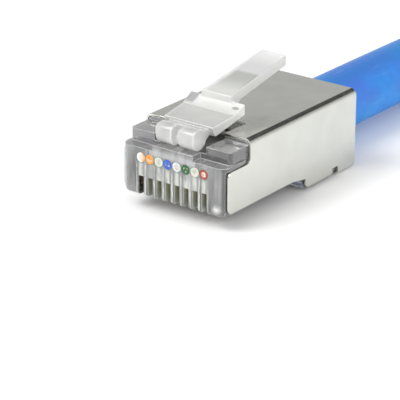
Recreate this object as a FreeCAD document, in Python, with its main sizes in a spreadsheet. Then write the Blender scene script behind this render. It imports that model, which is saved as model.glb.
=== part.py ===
import FreeCAD, Part

import math
import os
import re

import Sketcher

# A shielded, pass-through modular plug for eight wires, crimped on a short offcut of its round cable.
# Millimetres. The latch is up, the nose points along -Y, and the cable leaves along +Y. The origin lies
# under the middle of the plug, on the level of the folded tail of the shield, which the plug stands on.

VECTOR = FreeCAD.Vector
SAME_PLACE = 1e-4               # millimetres between two places that count as one
ARC_SHARE = 0.45                # of the shorter run beside a corner, taken up by its arc
STRAIGHT_ON = math.radians(0.01)
SHARP_CORNER = math.radians(80)
VOLUME_SLACK = 0.002            # share by which a swept bar may differ from section times length

# ---------------------------------------------------------------- driving dimensions

SIZES = {
    # whole plug
    "plug_length": 21.0,            # nose face to the rear edge of the shield
    "nose_width": 11.68,
    "nose_lift": 1.5,               # underside of the nose above the underside of the tail
    "nose_height": 4.7,             # the lower front block
    "nose_corner": 0.9,             # radius of the two upright front corners
    "nose_sole_radius": 0.45,       # radius along the lower front edge
    "nose_lip": 0.38,               # full-width rim in front of the wings of the shield
    "shoulder_setback": 1.2,        # the shoulders stand back from the nose face
    "shoulder_height": 5.9,
    "shoulder_corner": 0.35,
    "pedestal_margin": 0.15,        # the pedestal under the latch root is this much wider than the root
    # housing behind the nose
    "tail_start": 12.2,             # where the underside starts to drop, from the nose face
    "tail_slope": 0.7,              # length of that drop
    "tail_margin": 0.4,             # the housing ends this far inside the shield
    "bore_floor": 0.55,             # wall under the cable
    "gather_margin": 0.25,          # of the chamber where the wires close up
    "relief_depth": 0.3,            # pocket left by the pressed strain-relief bar
    "relief_length": 2.4,
    "relief_width": 5.0,
    "relief_start": 14.4,
    # shield
    "shield_proud": 0.11,           # each side of the shield stands this far outside the nose
    "shield_height": 6.5,           # top of the shield above the underside of the nose
    "sheet_metal": 0.25,
    "bend_radius": 0.65,            # outer radius of every fold
    "shield_fit": 0.04,             # clearance between the shield and the housing
    "shield_setback": 3.8,          # front edge of the top plate
    "wing_gap": 0.15,               # front edge of the wings behind the lip of the nose
    "wing_top": 4.27,
    "wing_bottom": 0.25,
    "wing_radius": 0.55,
    "skirt_level_end": 10.7,        # the lower edge runs level to here
    "skirt_dip": 0.35,              # and then sinks this much until the step
    "skirt_step": 12.7,
    "skirt_floor": 0.45,            # lower edge of the rear skirt above the flaps' underside
    "flap_length": 2.85,
    "flap_relief": 0.95,            # gap cut between the skirt and the flaps
    "flap_relief_height": 1.05,
    "flap_gap": 0.8,                # gap between the two flaps
    # latch
    "pivot_setback": 1.3,
    "pivot_height": 6.3,            # above the underside of the nose
    "barrel_radius": 1.0,
    "barrel_reach": 2.15,           # outer end of each root barrel from the middle
    "barrel_gap": 0.7,
    "barrel_clearance": 0.06,
    "barrel_split": 0.25,           # the gap between the barrels ends this far behind the pivot
    "web_step": 0.25,               # top of the root web below the top of the plate
    "web_drop": 0.85,               # its underside below the pivot
    "plate_half": 2.8,              # half width of the latch plate at its front
    "plate_setback": 2.4,
    "plate_height": 7.3,            # upper front edge of the plate
    "plate_thickness": 0.95,
    "plate_chin": 0.38,             # the lower front edge of the plate stands back by this
    "ear_half": 3.08,               # half width across the catch ears
    "ear_setback": 6.9,
    "ear_height": 8.35,
    "ear_depth": 1.05,
    "ear_ramp": 1.5,                # length of the ramp up to the ears
    "ear_ramp_start": 0.3325,       # the ramp starts this far above the front of the plate
    "lever_root_half": 1.7,
    "lever_tip_half": 1.5,
    "lever_height": 8.85,
    "lever_thickness": 0.92,
    "lever_length": 8.9,            # from the ears to the tip
    "lever_slope": 9.6,             # degrees
    "lever_bite": 0.45,             # the root of the lever reaches this far into the ears
    "lever_lean": 0.15,             # and its front face leans back by this
    "lever_heel": 0.28,             # length of the level underside behind the ears
    "lever_throat": 1.29,           # where the underside meets the slope of the lever
    "lever_tip_radius": 0.4,
    "latch_side_gap": 0.12,         # latch plate to the shoulders and to the notch in the shield
    "recess_corner": 0.2,
    # contacts
    "contact_pitch": 1.016,
    "blade_thickness": 0.35,
    "blade_fit": 0.06,              # clearance on each side of a blade
    "blade_setback": 0.75,
    "blade_length": 5.8,
    "blade_bottom": 0.62,
    "blade_drop": 0.4,              # from the wires down to the top of a blade, beside its prongs
    "blade_nose_radius": 0.35,
    "prong_width": 0.55,
    "prong_point": 0.275,           # height of its pointed end
    "prong_fit": 0.02,
    "prong_spread": 2.4,            # between the two prongs
    "slot_window": 1.92,            # height of a slot's front opening
    # wires and cable
    "wire_row": 3.77,               # row of wires above the underside of the nose
    "wire_gap": 0.116,              # between neighbouring wires in the row
    "wire_fit": 0.03,               # clearance of a wire in its channel
    "conductor_diameter": 0.5,
    "conductor_fit": 0.01,
    "jacket_wall": 0.63,
    "jacket_fit": 0.07,             # clearance of the jacket in its bore
    "jacket_inset": 0.6,            # jacket end to the end of the bore
    "screen_thickness": 0.05,
    "core_fit": 0.06,
    "pair_gap": 0.06,               # between an inner wire and its neighbours
    "outer_gap": 0.1,               # between the two outer wires on a side
    "drain_gap": 0.1,               # between the drain wire and the wires beside it
    "gather_start": 6.95,           # from the nose face to the chamber where the wires close up
    "gather_lead": 1.25,            # straight length of the wires behind their channels
    "gather_drop": 2.2,             # length in which the wires leave their row
    "gather_close": 2.4,            # length in which they close up sideways
    "gather_spare": 0.3,            # from there to the bore of the cable
    "drain_diameter": 0.4,
    "drain_turn": 0.48,             # the drain wire folds over this far in front of the jacket
    "drain_bend": 0.55,
    "drain_tail": 0.5,              # end of the folded drain wire, inside the shield
}

doc = FreeCAD.newDocument("ModularPlug")
sheet = doc.addObject("Spreadsheet::Sheet", "Sizes")
for row, (alias, size) in enumerate(SIZES.items(), start=1):
    sheet.set(f"A{row}", alias)
    sheet.set(f"B{row}", str(size))
    sheet.setAlias(f"B{row}", alias)
doc.recompute()


def bound(text):
    """The expression with each size written as a cell of the sheet."""
    return re.sub(r"[a-z]\w*", lambda word: f"Sizes.{word[0]}" if word[0] in SIZES else word[0], text)


def value(text):
    """The number that an expression of sizes has now."""
    return float(sheet.evalExpression(bound(text)))


# ---------------------------------------------------------------- places worked out from the sizes

WIRES = 8
FIRST_PIN = f"(-{(WIRES - 1) / 2} * contact_pitch)"

FRONT = "(-plug_length / 2)"
REAR = "(plug_length / 2)"
NOSE_TOP = "(nose_lift + nose_height)"
SHIELD_TOP = "(nose_lift + shield_height)"
UNDER_SHIELD = f"({SHIELD_TOP} - sheet_metal - shield_fit)"
SHIELD_HALF = "(nose_width / 2 + shield_proud)"
CORE_HALF = f"({SHIELD_HALF} - sheet_metal - shield_fit)"
THROUGH = "(2 * nose_width)"
PLATE_EDGE = f"({FRONT} + shield_setback)"

WIRE_ROW = "(nose_lift + wire_row)"
WIRE_RADIUS = "((contact_pitch - wire_gap) / 2)"
OUTER_RISE = f"({WIRE_RADIUS} + outer_gap / 2)"
INNER_REACH = f"({WIRE_RADIUS} + drain_diameter / 2 + drain_gap)"
INNER_RISE = f"({OUTER_RISE} + 2 * {WIRE_RADIUS} + pair_gap)"
OUTER_REACH = f"({INNER_REACH} + 2 * {WIRE_RADIUS} + pair_gap)"
CORE_RADIUS = f"(sqrt({OUTER_REACH}^2 + {OUTER_RISE}^2) + {WIRE_RADIUS} + core_fit)"
SCREEN_RADIUS = f"({CORE_RADIUS} + screen_thickness)"
JACKET_BORE = f"({SCREEN_RADIUS} + core_fit / 2)"
JACKET_RADIUS = f"({JACKET_BORE} + jacket_wall)"

TAIL_FLOOR = "(sheet_metal + shield_fit)"
BORE_RADIUS = f"({JACKET_RADIUS} + jacket_fit)"
CABLE_AXIS = f"({TAIL_FLOOR} + bore_floor + {BORE_RADIUS})"
GATHER_FRONT = f"({FRONT} + gather_start)"
BORE_FRONT = f"({GATHER_FRONT} + gather_lead + gather_drop + gather_close + gather_spare)"
BORE_DEPTH = f"({REAR} - {BORE_FRONT})"
JACKET_FRONT = f"({BORE_FRONT} + jacket_inset)"
DRAIN_LEVEL = f"({JACKET_RADIUS} + drain_diameter / 2 + wire_fit)"

PIVOT_Y = f"({FRONT} + pivot_setback)"
PIVOT_Z = "(nose_lift + pivot_height)"
RECESS_FLOOR = f"({PIVOT_Z} - barrel_radius - barrel_clearance)"
PLATE_FRONT = f"({FRONT} + plate_setback)"
EARS = f"({FRONT} + ear_setback)"
RECESS_BACK = f"({EARS} + latch_side_gap)"
RECESS_HALF = "(plate_half + latch_side_gap)"
RECESS_BACK_HALF = "(ear_half + latch_side_gap)"


# ---------------------------------------------------------------- modelling helpers

def new_body(name):
    body = doc.addObject("PartDesign::Body", name)
    body.Label = name
    return body


def new_sketch(body, name, plane, offset="0"):
    """A sketch on one of the body's own origin planes, moved along that plane's normal."""
    sketch = body.newObject("Sketcher::SketchObject", name)
    origin_plane = next(item for item in body.Origin.OriginFeatures if item.Role == plane)
    sketch.AttachmentSupport = (origin_plane, "")
    sketch.MapMode = "FlatFace"
    sketch.setExpression("AttachmentOffset.Base.z", bound(offset))
    return sketch


def bind(sketch, kind, geometry, point, text):
    """Hold one point of the sketch at a bound distance from the sketch's origin."""
    index = sketch.addConstraint(Sketcher.Constraint(kind, geometry, point, value(text)))
    sketch.setExpression(f"Constraints[{index}]", bound(text))


def draw_outline(sketch, corners):
    """A closed loop of straight lines, with both places of each corner bound to the sheet."""
    places = [VECTOR(value(across), value(along), 0) for across, along in corners]
    first = sketch.GeometryCount
    count = len(places)
    for index in range(count):
        sketch.addGeometry(Part.LineSegment(places[index], places[(index + 1) % count]))
    for index, (across, along) in enumerate(corners):
        after = first + (index + 1) % count
        sketch.addConstraint(Sketcher.Constraint("Coincident", first + index, 2, after, 1))
        bind(sketch, "DistanceX", first + index, 1, across)
        bind(sketch, "DistanceY", first + index, 1, along)


def draw_box(sketch, left, right, low, high):
    draw_outline(sketch, [(left, low), (right, low), (right, high), (left, high)])


def draw_circle(sketch, across, along, radius):
    circle = Part.Circle(VECTOR(value(across), value(along), 0), VECTOR(0, 0, 1), value(radius))
    geometry = sketch.addGeometry(circle)
    bind(sketch, "DistanceX", geometry, 3, across)
    bind(sketch, "DistanceY", geometry, 3, along)
    index = sketch.addConstraint(Sketcher.Constraint("Radius", geometry, value(radius)))
    sketch.setExpression(f"Constraints[{index}]", bound(radius))


def draw_corner_cut(sketch, across, along, inward, forward, radius):
    """What lies outside a rounded corner: its two straight sides and the quarter circle between them."""
    corner = VECTOR(value(across), value(along), 0)
    size = value(radius)
    on_front = corner + VECTOR(inward * size, 0, 0)
    on_side = corner + VECTOR(0, forward * size, 0)
    middle = VECTOR(on_front.x, on_side.y, 0)
    first = sketch.addGeometry(Part.LineSegment(on_side, corner))
    second = sketch.addGeometry(Part.LineSegment(corner, on_front))
    ends = [((second, 2), math.atan2(-forward, 0)), ((first, 1), math.atan2(0, -inward))]
    if inward == forward:
        ends.reverse()
    (start, start_angle), (end, end_angle) = ends
    circle = Part.Circle(middle, VECTOR(0, 0, 1), size)
    arc = sketch.addGeometry(Part.ArcOfCircle(circle, start_angle, end_angle))
    sketch.addConstraint(Sketcher.Constraint("Coincident", first, 2, second, 1))
    sketch.addConstraint(Sketcher.Constraint("Coincident", arc, 1, *start))
    sketch.addConstraint(Sketcher.Constraint("Coincident", arc, 2, *end))
    bind(sketch, "DistanceX", first, 2, across)
    bind(sketch, "DistanceY", first, 2, along)
    bind(sketch, "DistanceX", first, 1, across)
    bind(sketch, "DistanceY", first, 1, f"{along} + {forward} * {radius}")
    bind(sketch, "DistanceX", second, 2, f"{across} + {inward} * {radius}")
    bind(sketch, "DistanceY", second, 2, along)
    index = sketch.addConstraint(Sketcher.Constraint("Radius", arc, size))
    sketch.setExpression(f"Constraints[{index}]", bound(radius))


def add_feature(body, kind, name, sketch, length, side="One side", backward=False):
    """A pad or pocket of a sketch: symmetric, or to one side of the sketch's plane."""
    feature = body.newObject(f"PartDesign::{kind}", name)
    feature.Profile = sketch
    feature.SideType = side
    feature.Reversed = backward
    feature.setExpression("Length", bound(length))
    doc.recompute()
    return feature


def side_feature(body, kind, name, corners, width, offset="0"):
    """A feature whose outline is a side view, spread evenly about its middle plane."""
    sketch = new_sketch(body, f"{name}_outline", "YZ_Plane", offset)
    draw_outline(sketch, corners)
    return add_feature(body, kind, name, sketch, width, side="Symmetric")


def edges_along(feature, axis, *places):
    """Names of the straight edges along an axis that lie at one of the given places across it."""
    others = [index for index in range(3) if index != axis]
    wanted = [(value(first), value(second)) for first, second in places]
    found = []
    for number, edge in enumerate(feature.Shape.Edges, start=1):
        if edge.Curve.TypeId != "Part::GeomLine" or abs(edge.Curve.Direction[axis]) < 1 - SAME_PLACE:
            continue
        start = edge.Vertexes[0].Point
        here = [start[index] for index in others]
        if any(math.dist(here, place) < SAME_PLACE for place in wanted):
            found.append(f"Edge{number}")
    return found


def round_edges(body, name, feature, edges, radius):
    fillet = body.newObject("PartDesign::Fillet", name)
    fillet.Base = (feature, edges)
    fillet.setExpression("Radius", bound(radius))
    doc.recompute()
    return fillet


# ---------------------------------------------------------------- housing

def make_housing():
    """The clear moulding that carries the contacts, the wires and the cable."""
    body = new_body("housing")
    tail_drop = f"({FRONT} + tail_start)"
    tail_back = f"({REAR} - tail_margin)"
    step = f"({PLATE_EDGE} + shield_fit)"
    shoulder_front = f"({FRONT} + shoulder_setback)"
    shoulder_top = "(nose_lift + shoulder_height)"
    web = f"({FRONT} + nose_lip / 2)"
    core = side_feature(body, "Pad", "core", [
        (web, TAIL_FLOOR),
        (tail_back, TAIL_FLOOR),
        (tail_back, UNDER_SHIELD),
        (web, UNDER_SHIELD),
    ], f"2 * {CORE_HALF}")
    folds = [(f"{side}{CORE_HALF}", level) for side in ("-", "") for level in (TAIL_FLOOR, UNDER_SHIELD)]
    core = round_edges(body, "fold_corners", core, edges_along(core, 1, *folds), "bend_radius - sheet_metal")
    side_feature(body, "Pocket", "nose_underside", [
        (FRONT, "-nose_lift"),
        (f"{tail_drop} + tail_slope", "-nose_lift"),
        (f"{tail_drop} + tail_slope", TAIL_FLOOR),
        (tail_drop, "nose_lift"),
        (FRONT, "nose_lift"),
    ], THROUGH)
    side_feature(body, "Pocket", "shoulder_tops", [
        (FRONT, NOSE_TOP),
        (shoulder_front, NOSE_TOP),
        (shoulder_front, shoulder_top),
        (step, shoulder_top),
        (step, f"2 * {SHIELD_TOP}"),
        (FRONT, f"2 * {SHIELD_TOP}"),
    ], THROUGH)

    nose_back = f"({PLATE_EDGE} - wing_radius - shield_fit)"
    nose = side_feature(body, "Pad", "nose", [
        (FRONT, "nose_lift"),
        (nose_back, "nose_lift"),
        (nose_back, NOSE_TOP),
        (FRONT, NOSE_TOP),
    ], "nose_width")
    corners = edges_along(nose, 2, ("-nose_width / 2", FRONT), ("nose_width / 2", FRONT))
    nose = round_edges(body, "nose_corners", nose, corners, "nose_corner")
    sole = edges_along(nose, 0, (FRONT, "nose_lift"))
    nose = round_edges(body, "nose_sole", nose, sole, "nose_sole_radius")
    shoulders = new_sketch(body, "shoulder_corners_outline", "XY_Plane", NOSE_TOP)
    draw_corner_cut(shoulders, f"-{CORE_HALF}", shoulder_front, 1, 1, "shoulder_corner")
    draw_corner_cut(shoulders, CORE_HALF, shoulder_front, -1, 1, "shoulder_corner")
    add_feature(body, "Pocket", "shoulder_corners", shoulders, "shoulder_height", backward=True)

    rebate = new_sketch(body, "wing_rebate_outline", "XY_Plane", "nose_lift + wing_top + shield_fit")
    for side in ("-", ""):
        draw_box(rebate, f"{side}{CORE_HALF}", f"{side}nose_width", f"{FRONT} + nose_lip", PLATE_EDGE)
    add_feature(body, "Pocket", "wing_rebate", rebate, "nose_height")

    pedestal = new_sketch(body, "pedestal_outline", "XY_Plane", RECESS_FLOOR)
    reach = "(barrel_reach + pedestal_margin)"
    draw_box(pedestal, f"-{reach}", reach, FRONT, f"{FRONT} + shoulder_setback + nose_lip")
    add_feature(body, "Pad", "pedestal", pedestal, f"{RECESS_FLOOR} - {NOSE_TOP} + nose_lip", backward=True)

    cut_recess(body, "recess", RECESS_FLOOR, "shield_height")

    add_contact_slots(body)
    add_cable_bore(body)
    return body


def cut_recess(body, name, floor, depth):
    """The latch recess, open to the front and as wide as the latch plate with its gaps."""
    outline = new_sketch(body, f"{name}_outline", "XY_Plane", floor)
    draw_outline(outline, [
        (f"-{RECESS_HALF}", f"{FRONT} - nose_lip"),
        (RECESS_HALF, f"{FRONT} - nose_lip"),
        (RECESS_HALF, PLATE_FRONT),
        (RECESS_BACK_HALF, RECESS_BACK),
        (f"-{RECESS_BACK_HALF}", RECESS_BACK),
        (f"-{RECESS_HALF}", PLATE_FRONT),
    ])
    recess = add_feature(body, "Pocket", name, outline, depth, backward=True)
    corners = edges_along(recess, 2, (f"-{RECESS_BACK_HALF}", RECESS_BACK), (RECESS_BACK_HALF, RECESS_BACK))
    return round_edges(body, f"{name}_corners", recess, corners, "recess_corner")


def add_contact_slots(body):
    """Eight contact slots open to the nose and the sole, each under its wire channel."""
    slot_back = f"({FRONT} + blade_setback + blade_length + 2 * blade_fit)"
    web = f"({FRONT} + nose_lip)"
    outside = f"({FRONT} - nose_lip)"
    slot = side_feature(body, "Pocket", "contact_slot", [
        (outside, "0"),
        (slot_back, "0"),
        (slot_back, WIRE_ROW),
        (web, WIRE_ROW),
        (web, "nose_lift + slot_window"),
        (outside, "nose_lift + slot_window"),
    ], "blade_thickness + 2 * blade_fit", offset=FIRST_PIN)
    outline = new_sketch(body, "wire_channel_outline", "XZ_Plane", f"-{FRONT}")
    draw_circle(outline, FIRST_PIN, WIRE_ROW, f"{WIRE_RADIUS} + wire_fit")
    channel = add_feature(body, "Pocket", "wire_channel", outline, "gather_start + gather_margin")

    row = body.newObject("PartDesign::LinearPattern", "contact_row")
    row.Originals = [slot, channel]
    row.Direction = (next(item for item in body.Origin.OriginFeatures if item.Role == "X_Axis"), [""])
    row.setExpression("Length", bound(f"{WIRES - 1} * contact_pitch"))
    row.Occurrences = WIRES
    body.Tip = row
    doc.recompute()


def add_cable_bore(body):
    """The chamber where the wires close up, the round bore of the cable and the strain relief."""
    half_width = f"(-{FIRST_PIN} + {WIRE_RADIUS} + gather_margin)"
    spread = f"({INNER_RISE} + {WIRE_RADIUS} + gather_margin)"
    side_feature(body, "Pocket", "gather_chamber", [
        (GATHER_FRONT, f"{CABLE_AXIS} - {spread}"),
        (f"{BORE_FRONT} + gather_margin", f"{CABLE_AXIS} - {spread}"),
        (f"{BORE_FRONT} + gather_margin", f"{CABLE_AXIS} + {BORE_RADIUS}"),
        (GATHER_FRONT, f"{CABLE_AXIS} + {BORE_RADIUS}"),
    ], f"2 * {half_width}")

    bore = new_sketch(body, "bore_outline", "XZ_Plane", f"-{REAR}")
    draw_circle(bore, "0", CABLE_AXIS, BORE_RADIUS)
    add_feature(body, "Pocket", "bore", bore, BORE_DEPTH, backward=True)

    groove_half = "(drain_diameter / 2 + wire_fit)"
    groove = new_sketch(body, "drain_groove_outline", "XZ_Plane", f"-{REAR}")
    groove_top = f"{CABLE_AXIS} + {DRAIN_LEVEL} + {groove_half}"
    draw_box(groove, f"-{groove_half}", groove_half, CABLE_AXIS, groove_top)
    add_feature(body, "Pocket", "drain_groove", groove, f"{BORE_DEPTH} + drain_diameter", backward=True)

    relief = new_sketch(body, "relief_outline", "XY_Plane", f"{TAIL_FLOOR} + relief_depth")
    start = f"({FRONT} + relief_start)"
    draw_box(relief, "-relief_width / 2", "relief_width / 2", start, f"{start} + relief_length")
    add_feature(body, "Pocket", "relief", relief, "2 * relief_depth")


# ---------------------------------------------------------------- latch

def make_latch():
    """The lever with its two root barrels, its plate with the catch ears, and its finger end."""
    body = new_body("latch")
    plate_top = "(nose_lift + plate_height)"
    plate_low = f"({plate_top} - plate_thickness)"
    ear_top = "(nose_lift + ear_height)"
    ear_low = f"({ear_top} - ear_depth)"
    side_feature(body, "Pad", "plate", [
        (f"{PLATE_FRONT} + plate_chin", plate_low),
        (EARS, ear_low),
        (EARS, ear_top),
        (f"{EARS} - ear_ramp", f"{plate_top} + ear_ramp_start"),
        (PLATE_FRONT, plate_top),
    ], "2 * ear_half")
    trim = new_sketch(body, "plate_trim_outline", "XY_Plane")
    for side in ("-", ""):
        draw_outline(trim, [
            (f"{side}2 * ear_half", f"{PLATE_FRONT} - plate_thickness"),
            (f"{side}2 * ear_half", EARS),
            (f"{side}ear_half", EARS),
            (f"{side}plate_half", PLATE_FRONT),
            (f"{side}plate_half", f"{PLATE_FRONT} - plate_thickness"),
        ])
    add_feature(body, "Pocket", "plate_trim", trim, "4 * ear_height", side="Symmetric")

    side_feature(body, "Pad", "web", [
        (PIVOT_Y, f"{PIVOT_Z} - web_drop"),
        (f"{PLATE_FRONT} + plate_chin", plate_low),
        (f"{PLATE_FRONT} + plate_thickness", f"{plate_top} - web_step"),
        (PIVOT_Y, f"{plate_top} - web_step"),
    ], "2 * barrel_reach")
    barrel = new_sketch(body, "barrels_outline", "YZ_Plane")
    draw_circle(barrel, PIVOT_Y, PIVOT_Z, "barrel_radius")
    add_feature(body, "Pad", "barrels", barrel, "2 * barrel_reach", side="Symmetric")
    side_feature(body, "Pocket", "barrel_gap_cut", [
        (f"{PIVOT_Y} - 2 * barrel_radius", f"{PIVOT_Z} - 2 * barrel_radius"),
        (f"{PIVOT_Y} + barrel_split", f"{PIVOT_Z} - 2 * barrel_radius"),
        (f"{PIVOT_Y} + barrel_split", f"{PIVOT_Z} + 2 * barrel_radius"),
        (f"{PIVOT_Y} - 2 * barrel_radius", f"{PIVOT_Z} + 2 * barrel_radius"),
    ], "barrel_gap")

    lever_top = "nose_lift + lever_height"
    lever_low = f"{lever_top} - lever_thickness / cos(lever_slope * 1deg)"
    climb = "lever_length * tan(lever_slope * 1deg)"
    tip = f"({EARS} + lever_length)"
    lever = side_feature(body, "Pad", "lever", [
        (f"{EARS} - lever_bite", ear_low),
        (f"{EARS} + lever_heel", ear_low),
        (f"{EARS} + lever_throat", f"{lever_low} + lever_throat * tan(lever_slope * 1deg)"),
        (tip, f"{lever_low} + {climb}"),
        (tip, f"{lever_top} + {climb}"),
        (f"{EARS} - lever_bite + lever_lean", lever_top),
    ], "2 * lever_root_half")
    taper = new_sketch(body, "lever_taper_outline", "XY_Plane")
    for side in ("-", ""):
        draw_outline(taper, [
            (f"{side}lever_root_half", EARS),
            (f"{side}lever_tip_half", tip),
            (f"{side}lever_tip_half", f"{tip} + lever_thickness"),
            (f"{side}2 * lever_root_half", f"{tip} + lever_thickness"),
            (f"{side}2 * lever_root_half", EARS),
        ])
    lever = add_feature(body, "Pocket", "lever_taper", taper, "4 * ear_height", side="Symmetric")
    corners = edges_along(lever, 2, ("-lever_tip_half", tip), ("lever_tip_half", tip))
    round_edges(body, "lever_tip", lever, corners, "lever_tip_radius")
    return body


# ---------------------------------------------------------------- shield

def make_shield():
    """One folded sheet: top plate, two sides with their wings, and two flaps folded under the tail."""
    body = new_body("shield")
    inner_half = f"({SHIELD_HALF} - sheet_metal)"
    inner_top = f"({SHIELD_TOP} - sheet_metal)"
    wing_front = f"({FRONT} + nose_lip + wing_gap)"
    section = new_sketch(body, "folded_section", "XZ_Plane", f"-{wing_front}")
    draw_outline(section, [
        ("-flap_gap / 2", "0"),
        (f"-{SHIELD_HALF}", "0"),
        (f"-{SHIELD_HALF}", SHIELD_TOP),
        (SHIELD_HALF, SHIELD_TOP),
        (SHIELD_HALF, "0"),
        ("flap_gap / 2", "0"),
        ("flap_gap / 2", "sheet_metal"),
        (inner_half, "sheet_metal"),
        (inner_half, inner_top),
        (f"-{inner_half}", inner_top),
        (f"-{inner_half}", "sheet_metal"),
        ("-flap_gap / 2", "sheet_metal"),
    ])
    fold = add_feature(body, "Pad", "folded_sheet", section, f"{REAR} - {wing_front}", backward=True)
    outer = [(f"{side}{SHIELD_HALF}", level) for side in ("-", "") for level in ("0", SHIELD_TOP)]
    fold = round_edges(body, "outer_bends", fold, edges_along(fold, 1, *outer), "bend_radius")
    inner = [(f"{side}{inner_half}", level) for side in ("-", "") for level in ("sheet_metal", inner_top)]
    round_edges(body, "inner_bends", fold, edges_along(fold, 1, *inner), "bend_radius - sheet_metal")

    above = f"{SHIELD_TOP} + nose_height"
    ahead = f"{FRONT} - nose_lip"
    side_feature(body, "Pocket", "wing_cut", [
        (ahead, "nose_lift + wing_top"),
        (PLATE_EDGE, "nose_lift + wing_top"),
        (PLATE_EDGE, above),
        (ahead, above),
    ], THROUGH)
    step = f"({FRONT} + skirt_step)"
    flaps = f"({REAR} - flap_length)"
    below = "-nose_height"
    wing_low = "nose_lift + wing_bottom"
    skirt = side_feature(body, "Pocket", "skirt_cut", [
        (ahead, below),
        (flaps, below),
        (flaps, "flap_relief_height"),
        (f"{flaps} - flap_relief", "flap_relief_height"),
        (f"{flaps} - flap_relief", "skirt_floor"),
        (step, "skirt_floor"),
        (step, f"{wing_low} - skirt_dip"),
        (f"{FRONT} + skirt_level_end", wing_low),
        (ahead, wing_low),
    ], THROUGH)
    wings = edges_along(skirt, 0, (wing_front, "nose_lift + wing_top"), (wing_front, wing_low),
                        (PLATE_EDGE, "nose_lift + wing_top"), (step, "skirt_floor"))
    round_edges(body, "wing_corners", skirt, wings, "wing_radius")

    cut_recess(body, "latch_notch", f"{SHIELD_TOP} - 2 * sheet_metal", "shield_height")
    return body


# ---------------------------------------------------------------- contacts

def make_contact(number):
    """A flat blade with a rounded front foot and two prongs that reach the conductor."""
    body = new_body(f"contact_{number}")
    front = f"({FRONT} + blade_setback)"
    back = f"({front} + blade_length)"
    low = "(nose_lift + blade_bottom)"
    high = f"({WIRE_ROW} - {WIRE_RADIUS} - blade_drop)"
    tip = f"({WIRE_ROW} - conductor_diameter / 2 - conductor_fit)"
    outline = [(front, low), (back, low), (back, high)]
    for side in ("+", "-"):
        middle = f"({front} + blade_length / 2 {side} prong_spread / 2)"
        shank = f"({tip} - prong_point)"
        outline += [
            (f"{middle} + prong_width / 2", high),
            (f"{middle} + prong_width / 2", shank),
            (middle, tip),
            (f"{middle} - prong_width / 2", shank),
            (f"{middle} - prong_width / 2", high),
        ]
    outline.append((front, high))
    blade = side_feature(body, "Pad", f"blade_{number}", outline, "blade_thickness", offset=pin_place(number))
    foot = edges_along(blade, 0, (front, low))
    round_edges(body, f"blade_foot_{number}", blade, foot, "blade_nose_radius")
    return body


def pin_place(number):
    return f"({FIRST_PIN} + {number - 1} * contact_pitch)"


# ---------------------------------------------------------------- cable and wires

# Middle of the cable behind the plug: distance behind the shield, and how far it has sunk towards the ground.
CABLE_ROUTE = [(17.0, 0.0), (29.5, 0.3), (42.0, 0.9)]

# Where each wire lies in the core, as (side, level): the inner wires are the ones at the top and bottom.
# The fifth wire passes over the third, level with the middle of the core, before it takes its own place.
CORE_PLACES = [
    ("-", OUTER_REACH, "", OUTER_RISE),
    ("-", INNER_REACH, "", INNER_RISE),
    ("", INNER_REACH, "-", INNER_RISE),
    ("-", OUTER_REACH, "-", OUTER_RISE),
    ("-", INNER_REACH, "-", INNER_RISE),
    ("", OUTER_REACH, "-", OUTER_RISE),
    ("", INNER_REACH, "", INNER_RISE),
    ("", OUTER_REACH, "", OUTER_RISE),
]
LATE_WIRE = 5


def rounded_route(points, fold=math.inf):
    """Straight runs joined by tangent arcs as large as the runs allow, and the radii of the arcs.

    A square corner is folded tighter where a fold radius is given.
    """
    edges = []
    radii = []
    start = points[0]
    for before, corner, after in zip(points, points[1:], points[2:]):
        back = (before - corner).normalize()
        ahead = (after - corner).normalize()
        turn = math.pi - back.getAngle(ahead)
        if turn < STRAIGHT_ON:
            continue
        shorter = min(before.distanceToPoint(corner), after.distanceToPoint(corner))
        radius = ARC_SHARE * shorter / math.tan(turn / 2)
        if turn > SHARP_CORNER:
            radius = min(radius, fold)
        reach = radius * math.tan(turn / 2)
        inward = (back + ahead).normalize()
        middle = corner + inward * (radius / math.cos(turn / 2) - radius)
        edges.append(Part.LineSegment(start, corner + back * reach).toShape())
        edges.append(Part.Arc(corner + back * reach, middle, corner + ahead * reach).toShape())
        start = corner + ahead * reach
        radii.append(radius)
    edges.append(Part.LineSegment(start, points[-1]).toShape())
    return Part.Wire(edges), radii


def sweep_round(route, radius):
    """A round bar along the route."""
    first = route.Edges[0]
    start = first.valueAt(first.FirstParameter)
    profile = Part.Wire(Part.makeCircle(radius, start, first.tangentAt(first.FirstParameter)))
    bar = route.makePipeShell([profile], True, False)
    expected = math.pi * radius ** 2 * route.Length
    if abs(bar.Volume - expected) > VOLUME_SLACK * expected:
        raise ValueError(f"a bar holds {bar.Volume:.3f} mm3 where {expected:.3f} mm3 were expected")
    return bar


def add_shape(name, shape):
    feature = doc.addObject("Part::Feature", name)
    feature.Label = name
    feature.Shape = shape
    feature.Placement = FreeCAD.Placement()
    return feature


def cable_points(across, up):
    """The part of a route that follows the cable behind the plug."""
    rear = value(REAR)
    axis = value(CABLE_AXIS)
    return [VECTOR(across, rear + behind, axis + up - sunk) for behind, sunk in CABLE_ROUTE]


def wire_points(number):
    """From the nose face straight through the channel, then down and in to the wire's place in the core."""
    side, reach, level, rise = CORE_PLACES[number - 1]
    across = value(f"{side}{reach}")
    up = value(f"{level}{rise}")
    pin = value(pin_place(number))
    row = value(WIRE_ROW)
    axis = value(CABLE_AXIS)
    leave = value(f"{GATHER_FRONT} + gather_lead")
    sunk = leave + value("gather_drop")
    closed = sunk + value("gather_close")
    passing = 0 if number == LATE_WIRE else up
    points = [
        VECTOR(pin, value(FRONT), row),
        VECTOR(pin, leave, row),
        VECTOR(pin, sunk, axis + passing),
        VECTOR(across, closed, axis + passing),
    ]
    if number == LATE_WIRE:
        points.append(VECTOR(across, closed + value("gather_drop"), axis + up))
    return points + cable_points(across, up)


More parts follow.
